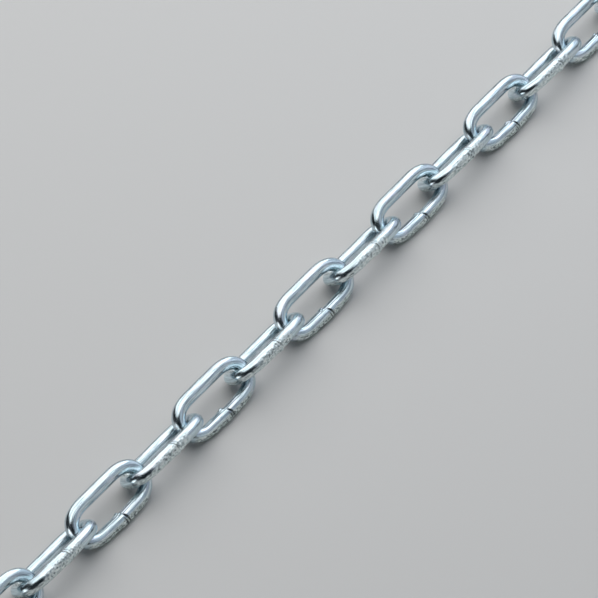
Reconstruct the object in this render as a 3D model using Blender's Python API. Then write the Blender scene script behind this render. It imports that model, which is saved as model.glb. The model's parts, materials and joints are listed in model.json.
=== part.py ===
"""A cut length of welded steel link chain, laid out straight on a level floor.

Run with: blender --background --python part.py
Units are metres, +Z is up, and the chain runs along +X. The origin is on the floor under the middle of the chain.
Every link is one piece of round wire, bent into a long loop and butt welded. The links hang loosely in each other:
each lies on one of its long sides and leans over, to the left and to the right in turn.
"""

import math

import bmesh
import bpy
from mathutils import Matrix, Vector

# Driving dimensions
WIRE_DIAMETER = 0.006
INNER_LENGTH = 0.036
INNER_WIDTH = 0.0101
LINK_COUNT = 14
PLAY = 0.0005  # gap between the round wires of two links where they meet
LEAN = math.radians(40.9)  # of a link's plane from the floor

# Shape of a link's bent ends: half of a rounded oval, slightly squarer than an ellipse
END_REACH = 0.0126  # from where the straight side stops to the wire's centre at the tip
END_POWER = 2.46

# Facets
WIRE_SIDES = 11
END_FACETS = 11  # around each bent end; an odd count leaves one facet square to the tip

ZINC_PLATE = {"Base Color": (0.56, 0.60, 0.64, 1.0), "Metallic": 1.0, "Roughness": 0.3}

# Sizes that follow from these
PITCH = INNER_LENGTH - PLAY
HALF_LENGTH = (INNER_LENGTH + WIRE_DIAMETER) / 2  # centre of a link to the wire's centre at its tip
HALF_WIDTH = (INNER_WIDTH + WIRE_DIAMETER) / 2  # centre of a link to the wire's centre along its side
HALF_STRAIGHT = HALF_LENGTH - END_REACH


def corner_radius():
    """The radius of the section's corners that gives the flat-sided wire the round wire's area."""
    sides = 2 * math.pi / WIRE_SIDES
    return WIRE_DIAMETER / 2 * math.sqrt(sides / math.sin(sides))


def flat_distance():
    """The distance from the wire's centre to the middle of one of its flat sides."""
    return corner_radius() * math.cos(math.pi / WIRE_SIDES)


def bent_end():
    """Centreline points of the end at +X, in the link's own plane, from its -Y side to its +Y side."""
    points = []
    for step in range(END_FACETS + 1):
        angle = math.pi * (step / END_FACETS - 0.5)
        along = abs(math.cos(angle)) ** (2 / END_POWER)
        across = math.copysign(abs(math.sin(angle)) ** (2 / END_POWER), angle)
        points.append(Vector((HALF_STRAIGHT + END_REACH * along, HALF_WIDTH * across, 0)))
    return points


def centreline():
    """The closed centreline of a link, anticlockwise seen from above its plane."""
    right = bent_end()
    return right + [-point for point in right]


def wire_ring(bm, before, centre, after):
    """One section of the wire, square to the bisector of the two stretches that meet at its centre."""
    run_in = (centre - before).normalized()
    run_out = (after - centre).normalized()
    tangent = (run_in + run_out).normalized()
    outward = tangent.cross(Vector((0, 0, 1)))
    widening = 1 / tangent.dot(run_in)  # a mitred corner is longer than the wire is thick
    first = math.pi / 2 - LEAN + math.pi / WIRE_SIDES  # puts one flat side square to the floor
    ring = []
    for side in range(WIRE_SIDES):
        angle = first + side * 2 * math.pi / WIRE_SIDES
        offset = outward * (math.cos(angle) * widening) - Vector((0, 0, math.sin(angle)))
        ring.append(bm.verts.new(centre + offset * corner_radius()))
    return ring


def link_mesh(name):
    """A link lying flat in its own XY plane."""
    bm = bmesh.new()
    points = centreline()
    count = len(points)
    rings = [wire_ring(bm, points[i - 1], points[i], points[(i + 1) % count]) for i in range(count)]
    for i, ring in enumerate(rings):
        following = rings[(i + 1) % count]
        for side in range(WIRE_SIDES):
            nearby = (side + 1) % WIRE_SIDES
            bm.faces.new((ring[side], ring[nearby], following[nearby], following[side]))
    bmesh.ops.recalc_face_normals(bm, faces=bm.faces[:])
    mesh = bpy.data.meshes.new(name)
    bm.to_mesh(mesh)
    bm.free()
    mesh.shade_smooth()
    return mesh


def mirrored(mesh, name):
    """The same link turned over about its long axis, for those that lean the other way."""
    turned = mesh.copy()
    turned.name = name
    turned.transform(Matrix.Scale(-1, 4, Vector((0, 1, 0))))
    turned.flip_normals()
    return turned


def zinc_plated_steel():
    material = bpy.data.materials.new("zinc_plated_steel")
    material.use_nodes = True
    shader = material.node_tree.nodes["Principled BSDF"]
    for socket, value in ZINC_PLATE.items():
        shader.inputs[socket].default_value = value
    return material


def lay_chain():
    """One object for each link, in a row along X."""
    material = zinc_plated_steel()
    left = link_mesh("link_leaning_left")
    left.materials.append(material)
    right = mirrored(left, "link_leaning_right")
    height = HALF_WIDTH * math.sin(LEAN) + flat_distance()
    for number in range(LINK_COUNT):
        leans_left = number % 2 == 0
        link = bpy.data.objects.new(f"link_{number + 1:02d}", left if leans_left else right)
        link.location = ((number - (LINK_COUNT - 1) / 2) * PITCH, 0, height)
        link.rotation_euler = (LEAN if leans_left else -LEAN, 0, 0)
        bpy.context.scene.collection.objects.link(link)


def main():
    for old in list(bpy.data.objects):
        bpy.data.objects.remove(old)
    lay_chain()


main()
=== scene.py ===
"""Looks of a cut length of zinc-plated link chain, lying straight on a pale floor.

Each packed link is replaced by a finer one of round wire on the same centreline, with its butt weld, the
trimmed flash round it, the marks of the bending tool and the lines of the drawing die. Sizes of a link are in
millimetres in its own frame: x along the chain, y across the link in its plane and z out of its plane. The
welded side is the one towards the camera, which is the frame's -Y side.
"""

import json
import math

import bpy
import numpy as np
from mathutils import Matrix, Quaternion, Vector

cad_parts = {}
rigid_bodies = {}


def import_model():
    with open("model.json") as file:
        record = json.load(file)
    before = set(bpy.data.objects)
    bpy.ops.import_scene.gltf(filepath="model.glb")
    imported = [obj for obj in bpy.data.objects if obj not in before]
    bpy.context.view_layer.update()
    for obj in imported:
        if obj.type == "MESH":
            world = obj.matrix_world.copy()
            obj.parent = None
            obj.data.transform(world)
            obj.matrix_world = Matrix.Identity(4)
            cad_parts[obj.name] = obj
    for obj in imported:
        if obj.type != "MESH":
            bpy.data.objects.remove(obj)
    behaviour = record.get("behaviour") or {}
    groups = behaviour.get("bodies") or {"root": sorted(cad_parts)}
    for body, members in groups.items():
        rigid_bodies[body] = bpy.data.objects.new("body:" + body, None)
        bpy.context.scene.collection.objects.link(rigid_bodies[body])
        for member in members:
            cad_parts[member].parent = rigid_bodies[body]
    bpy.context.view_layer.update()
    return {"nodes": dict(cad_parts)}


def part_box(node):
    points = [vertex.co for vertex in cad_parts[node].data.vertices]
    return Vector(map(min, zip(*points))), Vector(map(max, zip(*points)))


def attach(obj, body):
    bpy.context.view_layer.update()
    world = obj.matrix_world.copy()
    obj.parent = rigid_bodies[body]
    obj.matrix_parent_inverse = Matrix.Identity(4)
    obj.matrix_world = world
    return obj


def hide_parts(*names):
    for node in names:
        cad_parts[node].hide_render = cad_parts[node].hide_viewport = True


MM = 0.001

# A link's centreline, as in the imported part
WIRE_RADIUS = 3.0
HALF_LENGTH = 21.0
HALF_WIDTH = 8.05
END_REACH = 12.6
END_POWER = 2.46
END_POINTS = 1200
LEAN = math.radians(40.9)

# The mesh: rings lie closer together near the seam. A row of rings has its first place, its end and its step.
SEGMENTS = 72
FINE_REACH = 14.0
SEAM_RINGS = (0.05, 0.8, 0.09)
FINE_RINGS = (0.9, FINE_REACH, 0.2)
COARSE_SPACING = 0.5
TANGENT_REACH = 0.3

# Angles round the wire are in degrees, from the link's outer side towards its top face. Places along it are
# distances from the seam, growing towards -x. Between the two limits of a SPAN each link draws its own value,
# and WAVES are the shortest and the longest wave of some ripples.
ANY_PHASE = (0, 6)
RIPPLE_COUNT = 28

# The seam, which wanders a little from a tilted plane
SEAM_X = 1.0
SEAM_TILT = 0.95
SEAM_WANDER = 0.1
SEAM_BENDS = 3

# The welded side bows out a little, and past the seam the wire was squeezed thicker and a little off the line
# of the other end
BOW_DEPTH = 0.4
BOW_LENGTH = 6.0
SQUEEZE_AT = 135
SQUEEZE_TURN_SPAN = (-12, 12)
SQUEEZE_ALL = 0.09
SQUEEZE_SHIFT = 0.13
SQUEEZE_SHARE_SPAN = (0.8, 1.2)
SQUEEZE_OVAL = 0.03
SQUEEZE_FADE = (8.0, 15.0)
STEP_RISE = 0.3

# The groove on the thin side of the seam and the crease on the thick one; both are also darkened with painted
# shade
GROOVE_PLACE = -0.35
GROOVE_WIDTH = 0.36
GROOVE_AROUND = (5, 122)
GROOVE_SOFT = 12
CREASE_DEPTH = 0.25
CREASE_PLACE = 1.2
CREASE_WIDTH = 0.3
CREASE_AROUND = (0, 85)
CREASE_SOFT = 20
CREASE_SHADE = 0.85

# What is left of the flash: a collar on the outer side, and lumps with a rim of painted shade round their
# foot and a low swelling inside
COLLAR_HEIGHT = 0.45
COLLAR_SHARE_SPAN = (0.75, 1.15)
COLLAR_LENGTH = 2.2
COLLAR_AT = -60
COLLAR_REACH = 150
COLLAR_RIPPLE = 0.35
COLLAR_WAVES = (1.5, 3.5)
LUMP_COUNT = 3
LUMP_PLACE_SPAN = (0.5, 2.2)
LUMP_LENGTH_SPAN = (0.6, 0.9)
LUMP_HEIGHT_SPAN = (0.25, 0.42)
LUMP_AT_SPAN = (138, 178)
LUMP_REACH_SPAN = (16, 28)
RIM_HEIGHT = 0.12
RIM_WIDTH = 0.05
RIM_SHADE = 0.7
INNER_HEIGHT = 0.35
INNER_PLACE = 1.6
INNER_LENGTH = 1.7
INNER_AT = 182
INNER_REACH = 60

# Lines that the tools drew along the welded side, darkened along their length with painted shade
SCORE_AT = (130, 148)
SCORE_ALONG = (-9.0, 15.0)
SCORE_SOFT = 2.0
SCORE_DEPTH = 0.15
SCORE_WIDTH = 4.0
SCORE_SWAY = 4
SCORE_SWAY_LENGTH_SPAN = (5, 9)
SCORE_SHADE = 0.8

# Torn grain where the flash was trimmed off, dents where the bending tool gripped the wire, also at the tips
# of some links. The width of a soft edge is given along the wire and round it.
TRIM_SOFT = (2.5, 14)
TORN_WAVES = (0.9, 2.2)
TORN_FINE_WAVES = (0.55, 0.9)
TORN_FINE_SHARE = 0.6
GRIP_SOFT = (1.6, 16)
GRIP_DEPTH = 0.22
GRIP_SINK = 0.6
DENT_WAVES = (1.4, 3.2)
TIP_ALONG = (22.0, 35.0)
TIP_SOFT = 2.0
TIP_AT = 150
TIP_REACH = 95
TIP_POWER = 0.5

# Values by kind of link: first for those that lie open to the camera, then for those that stand edge-on to it
GROOVE_DEPTH = (0.36, 0.12)
TRIM_ALONG = ((-13.0, 17.0), (-7.0, 13.0))
TRIM_AROUND = ((-80.0, 66.0), (-80.0, 34.0))
TRIM_DEPTH = (0.2, 0.1)
GRIP_ALONG = ((4.5, 20.0), (11.5, 30.0))
GRIP_AROUND = ((-65.0, 60.0), (-65.0, -2.0))
TIP_SHARE = (0.0, 1.0)
MOTTLE = (2.6, 1.0)

# Slow waves along the drawn wire
DRAWN_DEPTH = 0.012
DRAWN_STRETCH = 5.0
DRAWN_WAVES = (1.5, 5.0)

# The zinc's noises: factors on x, y and z of the straightened wire, then scale, detail and roughness
LINE_NOISE = ((0.05, 1, 1), 1.9, 4.0, 0.65)
CLOUD_NOISE = ((0.6, 1, 1), 0.32, 3.0)
GRAIN_NOISE = ((1, 1, 1), 4.5, 3.0, 0.6)
PIT_NOISE = ((0.6, 1, 1), 1.5, 2.0, 0.5)
PATCH_NOISE = ((0.6, 1, 1), 0.4, 1.0)
PATTERN_STEP = 200.0

# The zinc's colours
DARK_LINE = (0.43, 0.53, 0.58, 1)
LIGHT_LINE = (0.735, 0.88, 0.935, 1)
CLOUD = (0.735, 0.755, 0.84, 1)
WORKED = (0.74, 0.83, 0.80, 1)
FLECK = (0.93, 0.99, 0.98, 1)
PIT = (0.24, 0.28, 0.30, 1)
# Painted shade in the seam's groove and crease, round the foot of the lumps and along the score lines
PAINTED_SHADE_COLOR = (0.03, 0.05, 0.06, 1)

# How strong a colour, a roughness or the grain is: a factor, or low and high input and what they turn into
LINE_SHARE = (0.42, 0.58, 0, 1)
CLOUD_SHARE = (0.45, 0.7, 0, 0.6)
WORKED_SHARE = 0.6
FLECK_SHARE = (0.52, 0.6, 0, 0.9)
PIT_SHARE = (0.47, 0.39, 0, 1)
PATCH_SHARE = (0.42, 0.56, 0.35, 1)
LINE_ROUGHNESS = (0.3, 0.7, 0.14, 0.24)
CLOUD_ROUGHNESS = (0.35, 0.7, 0, 0.05)
TRIM_ROUGHNESS = 0.2
GRIP_ROUGHNESS = 0.05
GRAIN_SHARE = (0, 1, 0.06, 1)
LINE_BUMP = {"Strength": 1.0, "Distance": 0.00007}
GRAIN_BUMP = {"Strength": 0.8, "Distance": 0.0001}

# The camera, from the photograph
CAMERA_AZIMUTH = math.radians(40.05)
CAMERA_ELEVATION = math.radians(47.06)
CAMERA_ROLL = math.radians(3.81)
CAMERA_DISTANCE = 1.5746
CAMERA_LENS = 216.6
CAMERA_CLIP = (0.05, 20)
LOOK_AT = Vector((-0.02162, 0.00522, 0.00861))

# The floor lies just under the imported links, and no finer link reaches below LOWEST
FLOOR_DROP = 0.00012
LOWEST = -0.8 * FLOOR_DROP
FLOOR_SIZE = 14.0
FLOOR_COLOR = (0.68, 0.68, 0.67, 1)
FLOOR_ROUGHNESS = 0.7

# The soft lights: direction from the chain, distance, width and height, radiance and tint
WHITE = (1, 1, 1)
FILL_TINT = (0.92, 0.99, 1.12)
LIGHTS = {
    "key": ((0.28, 0.42, 0.86), 1.4, (2.0, 2.7), 1.5, WHITE),
    "side_fill": ((0.85, 0.03, 0.53), 1.5, (1.25, 1.3), 0.8, FILL_TINT),
    "back_fill": ((0.45, -0.58, 0.68), 1.6, (1.5, 1.1), 0.4, FILL_TINT),
    "low_fill": ((0.48, -0.87, 0.2), 1.6, (1.65, 0.6), 0.55, WHITE),
    "end_light": ((-0.98, 0.14, 0.2), 1.5, (0.75, 0.58), 2.0, WHITE),
}
WORLD_COLOR = (0.55, 0.8, 1.0, 1)
WORLD_STRENGTH = 0.015


def smooth_step(low, high, value):
    t = np.clip((value - low) / (high - low), 0, 1)
    return t * t * (3 - 2 * t)


def window(value, limits, soft):
    """1 between the limits and 0 outside them, with soft edges."""
    low, high = limits
    return smooth_step(low - soft, low + soft, value) * (1 - smooth_step(high - soft, high + soft, value))


def bell(value, centre, width):
    """1 at the centre, falling smoothly towards 0 on both sides of it."""
    return np.exp(-((value - centre) / width) ** 2)


def lobe(around, centre, reach):
    """1 at the centre angle, falling smoothly to 0 at reach degrees either side of it."""
    away = np.abs((around - centre + 180) % 360 - 180)
    return np.cos(np.minimum(away / reach, 1) * math.pi / 2) ** 2


def ripples(points, rng, wavelengths):
    """Smooth random relief over points in space, about -1 to 1."""
    low, high = wavelengths
    directions = rng.normal(size=(RIPPLE_COUNT, 3))
    directions /= np.linalg.norm(directions, axis=1, keepdims=True)
    waves = directions * (2 * math.pi / rng.uniform(low, high, (RIPPLE_COUNT, 1)))
    phases = rng.uniform(0, 2 * math.pi, RIPPLE_COUNT)
    return np.cos(points @ waves.T + phases).sum(-1) * math.sqrt(0.5 / RIPPLE_COUNT)


def centreline():
    """Points and distances of the closed centreline, from the seam along the welded side to -x and round."""
    straight = HALF_LENGTH - END_REACH
    turn = np.linspace(-math.pi / 2, math.pi / 2, END_POINTS)
    along = straight + END_REACH * np.abs(np.cos(turn)) ** (2 / END_POWER)
    across = HALF_WIDTH * np.sign(np.sin(turn)) * np.abs(np.sin(turn)) ** (2 / END_POWER)
    left_end = np.c_[-along, across]
    right_end = np.c_[along, across][::-1]
    line = np.concatenate([[[SEAM_X, -HALF_WIDTH]], left_end, right_end, [[SEAM_X, -HALF_WIDTH]]])
    steps = np.linalg.norm(np.diff(line, axis=0), axis=1)
    return line, np.concatenate([[0], np.cumsum(steps)])


def ring_places(length):
    """Distances of the rings along the wire, close together near the seam."""
    near = np.concatenate([np.arange(*SEAM_RINGS), np.arange(*FINE_RINGS)])
    count = int((length - 2 * FINE_REACH) / COARSE_SPACING)
    middle = np.linspace(FINE_REACH, length - FINE_REACH, count)
    return np.concatenate([near, middle, (length - near)[::-1]])


def squeezed(behind, around, step, rng):
    """The thicker wire past the seam, which fades out along it."""
    away = np.radians(around - SQUEEZE_AT - rng.uniform(*SQUEEZE_TURN_SPAN))
    shift = SQUEEZE_SHIFT * rng.uniform(*SQUEEZE_SHARE_SPAN)
    squeeze = SQUEEZE_ALL + shift * np.cos(away) + SQUEEZE_OVAL * np.cos(2 * away)
    return squeeze * step * (1 - smooth_step(*SQUEEZE_FADE, behind))


def flash_collar(behind, around, wire, step, rng):
    """The low uneven collar on the outer side."""
    collar = COLLAR_HEIGHT * rng.uniform(*COLLAR_SHARE_SPAN) * lobe(around, COLLAR_AT, COLLAR_REACH)
    collar = collar * step * bell(np.maximum(behind, 0), 0, COLLAR_LENGTH)
    return collar * (1 + COLLAR_RIPPLE * ripples(wire, rng, COLLAR_WAVES))


def flash_lumps(behind, around, rng):
    """The lumps on the inner side, without the low swelling under them."""
    lumps = 0
    for _ in range(LUMP_COUNT):
        place = rng.uniform(*LUMP_PLACE_SPAN)
        lump = bell(behind, place, rng.uniform(*LUMP_LENGTH_SPAN))
        lump = lump * rng.uniform(*LUMP_HEIGHT_SPAN)
        centre = rng.uniform(*LUMP_AT_SPAN)
        lumps = lumps + lump * lobe(around, centre, rng.uniform(*LUMP_REACH_SPAN))
    return lumps


def score_lines(past, around, rng):
    """1 on the score lines, which sway a little, and 0 away from them."""
    score = 0
    for angle in SCORE_AT:
        sway_length = rng.uniform(*SCORE_SWAY_LENGTH_SPAN)
        track = angle + SCORE_SWAY * np.sin(past / sway_length + rng.uniform(*ANY_PHASE))
        score = score + bell(around, track, SCORE_WIDTH) * window(past, SCORE_ALONG, SCORE_SOFT)
    return score


def soft_patch(past, around, along_limits, around_limits, soft):
    """1 inside the limits along the wire and round it, and 0 outside them."""
    soft_along, soft_around = soft
    return window(past, along_limits, soft_along) * window(around, around_limits, soft_around)


def relief(past, around, wire, kind, rng):
    """How far the surface stands out from round wire, how much each place is trimmed or gripped, and how much
    painted shade it gets.

    past is the distance from the seam, negative on the thin side of it, around is the angle in degrees, wire
    the place on the straightened wire, and kind 0 for links that lie open to the camera and 1 for those that
    stand edge-on to it. Trimmed and gripped come out above 1 on the first kind, which deepens their looks.
    """
    tilt = SEAM_TILT * np.cos(np.radians(around))
    wander = SEAM_WANDER * np.sin(np.radians(SEAM_BENDS * around) + rng.uniform(*ANY_PHASE))
    behind = past + tilt + wander
    step = smooth_step(0, STEP_RISE, behind)
    height = squeezed(behind, around, step, rng)
    height += BOW_DEPTH * np.cos(np.radians(around)) * bell(past, 0, BOW_LENGTH)
    height += flash_collar(behind, around, wire, step, rng)
    lumps = flash_lumps(behind, around, rng)
    height += lumps
    swelling = bell(behind, INNER_PLACE, INNER_LENGTH) * lobe(around, INNER_AT, INNER_REACH)
    height += INNER_HEIGHT * swelling
    rim = bell(lumps, RIM_HEIGHT, RIM_WIDTH)
    score = score_lines(past, around, rng)

    groove_shade = bell(behind, GROOVE_PLACE, GROOVE_WIDTH) * window(around, GROOVE_AROUND, GROOVE_SOFT)
    crease = bell(behind, CREASE_PLACE, CREASE_WIDTH) * window(around, CREASE_AROUND, CREASE_SOFT)
    height -= CREASE_DEPTH * crease
    trim = soft_patch(past, around, TRIM_ALONG[kind], TRIM_AROUND[kind], TRIM_SOFT)
    grip = soft_patch(past, around, GRIP_ALONG[kind], GRIP_AROUND[kind], GRIP_SOFT)
    tip = TIP_SHARE[kind] * window(past, TIP_ALONG, TIP_SOFT) * lobe(around, TIP_AT, TIP_REACH) ** TIP_POWER
    grip = np.maximum(grip, tip)
    torn = ripples(wire, rng, TORN_WAVES) + TORN_FINE_SHARE * ripples(wire, rng, TORN_FINE_WAVES)
    dents = GRIP_SINK + ripples(wire, rng, DENT_WAVES)
    drawn = ripples(wire / [DRAWN_STRETCH, 1, 1], rng, DRAWN_WAVES)
    height += TRIM_DEPTH[kind] * trim * torn - GRIP_DEPTH * grip * dents + DRAWN_DEPTH * drawn
    height -= GROOVE_DEPTH[kind] * groove_shade + SCORE_DEPTH * score
    # Painted shade: the groove, the crease, the foot of the lumps and the score lines are darkened in colour,
    # less on links whose groove is shallower
    painted_shade = np.maximum(np.maximum(groove_shade, CREASE_SHADE * crease), RIM_SHADE * rim)
    painted_shade = painted_shade * GROOVE_DEPTH[kind] / max(GROOVE_DEPTH)
    look = MOTTLE[kind]
    return height, look * trim, look * grip, np.maximum(painted_shade, SCORE_SHADE * score)


def tube_faces(rings):
    """Four-sided faces of a closed tube, as the numbers of their corners."""
    ring, side = np.meshgrid(np.arange(rings), np.arange(SEGMENTS), indexing="ij")
    next_ring = (ring + 1) % rings * SEGMENTS
    ring = ring * SEGMENTS
    next_side = (side + 1) % SEGMENTS
    return np.stack([ring + side, ring + next_side, next_ring + next_side, next_ring + side], -1)


def link_mesh(name, seed, kind, centre):
    """A link at its place on the floor, with its places on the straightened wire kept as attributes."""
    rng = np.random.default_rng(seed)
    line, distances = centreline()
    length = distances[-1]
    places = ring_places(length)

    def on_line(place):
        wrapped = place % length
        return np.c_[np.interp(wrapped, distances, line[:, 0]), np.interp(wrapped, distances, line[:, 1])]

    middle = on_line(places)
    forward = on_line(places + TANGENT_REACH) - on_line(places - TANGENT_REACH)
    forward /= np.linalg.norm(forward, axis=1, keepdims=True)
    outward = np.c_[-forward[:, 1], forward[:, 0]]

    turn = np.arange(SEGMENTS) * 2 * math.pi / SEGMENTS
    around = np.broadcast_to((np.degrees(turn) + 180) % 360 - 180, (len(places), SEGMENTS))
    past = np.where(places < length / 2, places, places - length)
    past = np.broadcast_to(past[:, None], around.shape)
    round_wire = (places[:, None], WIRE_RADIUS * np.cos(turn), WIRE_RADIUS * np.sin(turn))
    wire = np.stack(np.broadcast_arrays(*round_wire), -1)
    height, trim, grip, groove_shade = relief(past, around, wire, kind, rng)

    lean = LEAN if kind == 0 else -LEAN
    radius = WIRE_RADIUS + height
    in_plane = middle[:, None] + (radius * np.cos(turn))[..., None] * outward[:, None]
    above = radius * np.sin(turn)
    x = in_plane[..., 0] * MM + centre.x
    y = (in_plane[..., 1] * math.cos(lean) - above * math.sin(lean)) * MM + centre.y
    z = (in_plane[..., 1] * math.sin(lean) + above * math.cos(lean)) * MM + centre.z
    points = np.stack([x, y, np.maximum(z, LOWEST)], -1)

    mesh = bpy.data.meshes.new(name)
    mesh.from_pydata(points.reshape(-1, 3).tolist(), [], tube_faces(len(places)).reshape(-1, 4).tolist())
    mesh.shade_smooth()
    wire = wire + [PATTERN_STEP * seed, 0, 0]
    mesh.attributes.new("wire", "FLOAT_VECTOR", "POINT").data.foreach_set("vector", wire.ravel())
    # The last mask is the painted shade in the groove, the crease, round the lumps and along the score lines
    for key, mask in (("trim", trim), ("grip", grip), ("groove_shade", groove_shade)):
        mesh.attributes.new(key, "FLOAT", "POINT").data.foreach_set("value", mask.ravel())
    return mesh


class Nodes:
    """Short ways to add and join shader nodes."""

    def __init__(self, material):
        material.use_nodes = True
        self.tree = material.node_tree
        self.shader = self.tree.nodes["Principled BSDF"]

    def add(self, kind, inputs=None, **settings):
        made = self.tree.nodes.new(kind)
        for key, value in settings.items():
            setattr(made, key, value)
        for key, value in (inputs or {}).items():
            self.put(value, made.inputs[key])
        return made

    def put(self, value, socket):
        if isinstance(value, bpy.types.NodeSocket):
            self.tree.links.new(value, socket)
        else:
            socket.default_value = value

    def attribute(self, name, output="Fac"):
        return self.add("ShaderNodeAttribute", attribute_name=name).outputs[output]

    def math(self, operation, first, second):
        return self.add("ShaderNodeMath", {0: first, 1: second}, operation=operation).outputs[0]

    def spread(self, value, low, high, to_low, to_high):
        inputs = {"Value": value, "From Min": low, "From Max": high, "To Min": to_low, "To Max": to_high}
        return self.add("ShaderNodeMapRange", inputs).outputs["Result"]

    def noise(self, places, stretch, scale, detail=3.0, roughness=0.5):
        moved = self.add("ShaderNodeVectorMath", {0: places, 1: stretch}, operation="MULTIPLY").outputs[0]
        inputs = {"Vector": moved, "Scale": scale, "Detail": detail, "Roughness": roughness}
        return self.add("ShaderNodeTexNoise", inputs).outputs["Fac"]

    def mix(self, share, first, second):
        made = self.add("ShaderNodeMix", data_type="RGBA")
        for place, value in ((0, share), (6, first), (7, second)):
            self.put(value, made.inputs[place])
        return made.outputs[2]


def zinc_plate():
    """Blue-white zinc: lines along the drawn wire, faint clouds, grain and pits where it was worked, and
    painted shade in the seam's groove and crease, round the lumps and along the score lines.
    """
    material = bpy.data.materials.new("zinc_plate")
    nodes = Nodes(material)
    places = nodes.attribute("wire", "Vector")
    trim = nodes.attribute("trim")
    grip = nodes.attribute("grip")
    groove_shade = nodes.attribute("groove_shade")
    lines = nodes.noise(places, *LINE_NOISE)
    clouds = nodes.noise(places, *CLOUD_NOISE)
    grain = nodes.noise(places, *GRAIN_NOISE)
    pits = nodes.noise(places, *PIT_NOISE)
    worked = nodes.math("MAXIMUM", trim, grip)

    color = nodes.mix(nodes.spread(lines, *LINE_SHARE), DARK_LINE, LIGHT_LINE)
    color = nodes.mix(nodes.spread(clouds, *CLOUD_SHARE), color, CLOUD)
    color = nodes.mix(nodes.math("MULTIPLY", worked, WORKED_SHARE), color, WORKED)
    color = nodes.mix(nodes.math("MULTIPLY", worked, nodes.spread(pits, *FLECK_SHARE)), color, FLECK)
    patches = nodes.spread(nodes.noise(places, *PATCH_NOISE), *PATCH_SHARE)
    dark_pits = nodes.math("MULTIPLY", nodes.spread(pits, *PIT_SHARE), patches)
    color = nodes.mix(nodes.math("MULTIPLY", worked, dark_pits), color, PIT)
    # Painted shade in the groove, the crease, round the lumps and along the score lines
    color = nodes.mix(groove_shade, color, PAINTED_SHADE_COLOR)
    nodes.put(color, nodes.shader.inputs["Base Color"])

    roughness = nodes.spread(lines, *LINE_ROUGHNESS)
    roughness = nodes.math("ADD", roughness, nodes.spread(clouds, *CLOUD_ROUGHNESS))
    roughness = nodes.math("ADD", roughness, nodes.math("MULTIPLY", trim, TRIM_ROUGHNESS))
    roughness = nodes.math("ADD", roughness, nodes.math("MULTIPLY", grip, GRIP_ROUGHNESS))
    nodes.put(roughness, nodes.shader.inputs["Roughness"])
    nodes.shader.inputs["Metallic"].default_value = 1.0

    line_bump = nodes.add("ShaderNodeBump", {"Height": lines, **LINE_BUMP}, invert=True)
    worked_grain = nodes.math("MULTIPLY", grain, nodes.spread(worked, *GRAIN_SHARE))
    inputs = {"Height": worked_grain, **GRAIN_BUMP, "Normal": line_bump.outputs["Normal"]}
    grain_bump = nodes.add("ShaderNodeBump", inputs, invert=True)
    nodes.put(grain_bump.outputs["Normal"], nodes.shader.inputs["Normal"])
    return material


def dress_links():
    """Puts a finer link over each packed one, on the same body."""
    material = zinc_plate()
    for number, node in enumerate(sorted(frame["nodes"])):
        low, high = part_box(node)
        mesh = link_mesh(f"{node}_wire", number + 1, number % 2, (low + high) / 2)
        mesh.materials.append(material)
        link = bpy.data.objects.new(f"{node}_wire", mesh)
        bpy.context.scene.collection.objects.link(link)
        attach(link, node)
        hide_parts(node)


def lay_floor():
    half = FLOOR_SIZE / 2
    corners = [(x, y, -FLOOR_DROP) for x, y in ((-half, -half), (half, -half), (half, half), (-half, half))]
    mesh = bpy.data.meshes.new("floor")
    mesh.from_pydata(corners, [], [(0, 1, 2, 3)])
    floor = bpy.data.objects.new("floor", mesh)
    bpy.context.scene.collection.objects.link(floor)
    material = bpy.data.materials.new("pale_floor")
    nodes = Nodes(material)
    nodes.shader.inputs["Base Color"].default_value = FLOOR_COLOR
    nodes.shader.inputs["Roughness"].default_value = FLOOR_ROUGHNESS
    mesh.materials.append(material)


def softbox(name, towards, distance, size, radiance, tint):
    """A soft light that faces the chain from the given direction, as bright as radiance all over."""
    width, height = size
    light = bpy.data.lights.new(name, "AREA")
    light.shape = "RECTANGLE"
    light.size = width
    light.size_y = height
    light.energy = radiance * math.pi * width * height
    light.color = tint
    lamp = bpy.data.objects.new(name, light)
    bpy.context.scene.collection.objects.link(lamp)
    direction = Vector(towards).normalized()
    lamp.location = direction * distance
    lamp.rotation_mode = "QUATERNION"
    lamp.rotation_quaternion = (-direction).to_track_quat("-Z", "Y")
    lamp.visible_camera = False


def light_studio():
    for name, values in LIGHTS.items():
        softbox(name, *values)
    world = bpy.data.worlds.new("studio")
    world.use_nodes = True
    background = world.node_tree.nodes["Background"]
    background.inputs["Color"].default_value = WORLD_COLOR
    background.inputs["Strength"].default_value = WORLD_STRENGTH
    bpy.context.scene.world = world
    bpy.context.scene.view_settings.view_transform = "Standard"


def place_camera():
    forward = Vector((
        math.cos(CAMERA_ELEVATION) * math.cos(CAMERA_AZIMUTH),
        math.cos(CAMERA_ELEVATION) * math.sin(CAMERA_AZIMUTH),
        -math.sin(CAMERA_ELEVATION),
    ))
    camera = bpy.data.cameras.new("camera")
    camera.lens = CAMERA_LENS
    camera.clip_start, camera.clip_end = CAMERA_CLIP
    holder = bpy.data.objects.new("camera", camera)
    bpy.context.scene.collection.objects.link(holder)
    holder.location = LOOK_AT - forward * CAMERA_DISTANCE
    holder.rotation_mode = "QUATERNION"
    holder.rotation_quaternion = forward.to_track_quat("-Z", "Y") @ Quaternion((0, 0, 1), -CAMERA_ROLL)
    bpy.context.scene.camera = holder


for old in list(bpy.data.objects):
    bpy.data.objects.remove(old)
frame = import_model()
place_camera()
light_studio()
lay_floor()
dress_links()
